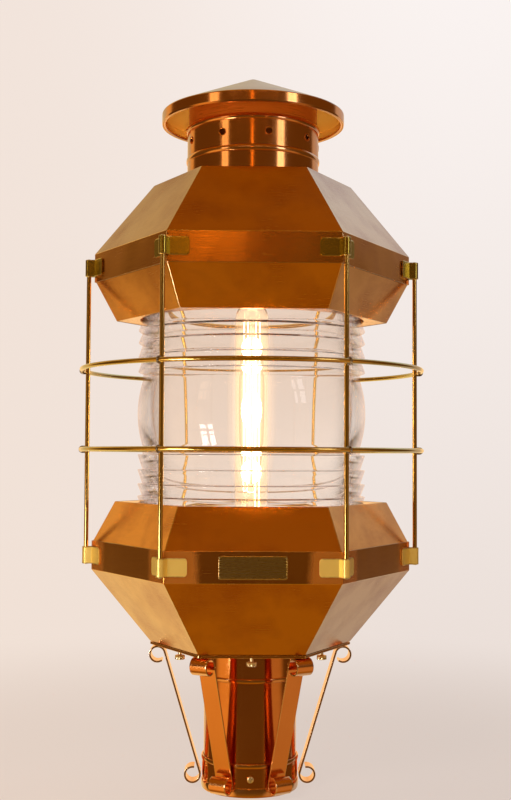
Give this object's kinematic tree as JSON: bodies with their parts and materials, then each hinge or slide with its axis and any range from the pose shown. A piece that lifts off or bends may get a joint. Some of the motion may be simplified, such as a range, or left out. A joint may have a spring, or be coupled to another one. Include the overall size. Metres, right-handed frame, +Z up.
{
  "type": "navigation post lantern",
  "caption": "Six-sided copper lantern with a stepped glass lens in a brass cage, under a vented hood, on a tubular post fitter with scrolled straps.",
  "frame": {"origin": "centre of the post fitter's mouth, where the post enters", "axes": "+Z up the post through the vent cap's tip, -Y out of the face with the name plate"},
  "size_m": [0.3044, 0.3044, 0.6296],
  "materials": {
    "brushed_copper": "copper sheet, brushed and lacquered, semi-gloss",
    "bright_copper": "copper, spun and polished bright",
    "strap_copper": "flat copper strip, polished",
    "cage_brass": "brass rod, polished",
    "clip_brass": "brass strip, slightly dulled",
    "screw_brass": "turned brass",
    "lens_glass": "clear pressed glass",
    "gasket_cork": "cork and rubber, matt",
    "name_plate_brass": "brass plate, satin, bare",
    "socket_brass": "brass, satin",
    "bulb_cap_brass": "brass screw shell",
    "bulb_glass": "clear thin glass",
    "filament": "glowing wire"
  },
  "bodies": {
    "post_base": {"base_plate": "brushed_copper", "post_tube": "bright_copper", "sleeve_upper": "bright_copper", "sleeve_lower": "bright_copper", "scroll_strap_1": "strap_copper", "scroll_strap_2": "strap_copper", "scroll_strap_3": "strap_copper", "scroll_strap_4": "strap_copper", "scroll_strap_5": "strap_copper", "scroll_strap_6": "strap_copper", "post_screw_1": "screw_brass", "post_screw_2": "screw_brass", "post_screw_3": "screw_brass", "lamp_stem": "socket_brass", "stem_nut": "socket_brass", "lamp_socket": "socket_brass"},
    "lantern": {"hood_roof": "brushed_copper", "hood_undercut": "brushed_copper", "hood_floor": "brushed_copper", "vent_cap": "bright_copper", "vent_neck": "bright_copper", "vent_collar": "bright_copper", "lens_seat_upper": "brushed_copper", "lens_gasket_upper": "gasket_cork", "fresnel_lens": "lens_glass", "lens_gasket_lower": "gasket_cork", "lens_seat_lower": "brushed_copper", "body_deck": "brushed_copper", "body_shoulder": "brushed_copper", "body_pan": "brushed_copper", "name_plate": "name_plate_brass", "cage_bar_1": "cage_brass", "cage_bar_2": "cage_brass", "cage_bar_3": "cage_brass", "cage_bar_4": "cage_brass", "cage_bar_5": "cage_brass", "cage_bar_6": "cage_brass", "cage_ring_upper": "cage_brass", "cage_ring_lower": "cage_brass", "bar_clip_upper_1": "clip_brass", "bar_clip_upper_2": "clip_brass", "bar_clip_upper_3": "clip_brass", "bar_clip_upper_4": "clip_brass", "bar_clip_upper_5": "clip_brass", "bar_clip_upper_6": "clip_brass", "bar_clip_lower_1": "clip_brass", "bar_clip_lower_2": "clip_brass", "bar_clip_lower_3": "clip_brass", "bar_clip_lower_4": "clip_brass", "bar_clip_lower_5": "clip_brass", "bar_clip_lower_6": "clip_brass"},
    "lamp": {"bulb_base": "bulb_cap_brass", "bulb_glass": "bulb_glass", "filament": "filament"},
    "thumbscrew_body_1": {"thumbscrew_1": "screw_brass"},
    "thumbscrew_body_2": {"thumbscrew_2": "screw_brass"},
    "thumbscrew_body_3": {"thumbscrew_3": "screw_brass"},
    "thumbscrew_body_4": {"thumbscrew_4": "screw_brass"},
    "thumbscrew_body_5": {"thumbscrew_5": "screw_brass"},
    "thumbscrew_body_6": {"thumbscrew_6": "screw_brass"}
  },
  "joints": [
    {"name": "lantern_lift", "type": "slide", "parent": "post_base", "child": "lantern", "axis": [0, 0, 1], "range_m": [0, 0.3]},
    {"name": "lamp_unscrew", "type": "hinge", "parent": "post_base", "child": "lamp", "pos_m": [0, 0, 0.25], "axis": [0, 0, 1], "range_deg": [0, 1080]},
    {"name": "thumbscrew_turn_1", "type": "hinge", "parent": "post_base", "child": "thumbscrew_body_1", "pos_m": [0.06062, 0.035, 0.1229], "axis": [0, 0, -1], "range_deg": [0, 1440]},
    {"name": "thumbscrew_turn_2", "type": "hinge", "parent": "post_base", "child": "thumbscrew_body_2", "pos_m": [0, 0.07, 0.1229], "axis": [0, 0, -1], "range_deg": [0, 1440]},
    {"name": "thumbscrew_turn_3", "type": "hinge", "parent": "post_base", "child": "thumbscrew_body_3", "pos_m": [-0.06062, 0.035, 0.1229], "axis": [0, 0, -1], "range_deg": [0, 1440]},
    {"name": "thumbscrew_turn_4", "type": "hinge", "parent": "post_base", "child": "thumbscrew_body_4", "pos_m": [-0.06062, -0.035, 0.1229], "axis": [0, 0, -1], "range_deg": [0, 1440]},
    {"name": "thumbscrew_turn_5", "type": "hinge", "parent": "post_base", "child": "thumbscrew_body_5", "pos_m": [0, -0.07, 0.1229], "axis": [0, 0, -1], "range_deg": [0, 1440]},
    {"name": "thumbscrew_turn_6", "type": "hinge", "parent": "post_base", "child": "thumbscrew_body_6", "pos_m": [0.06062, -0.035, 0.1229], "axis": [0, 0, -1], "range_deg": [0, 1440]}
  ]
}
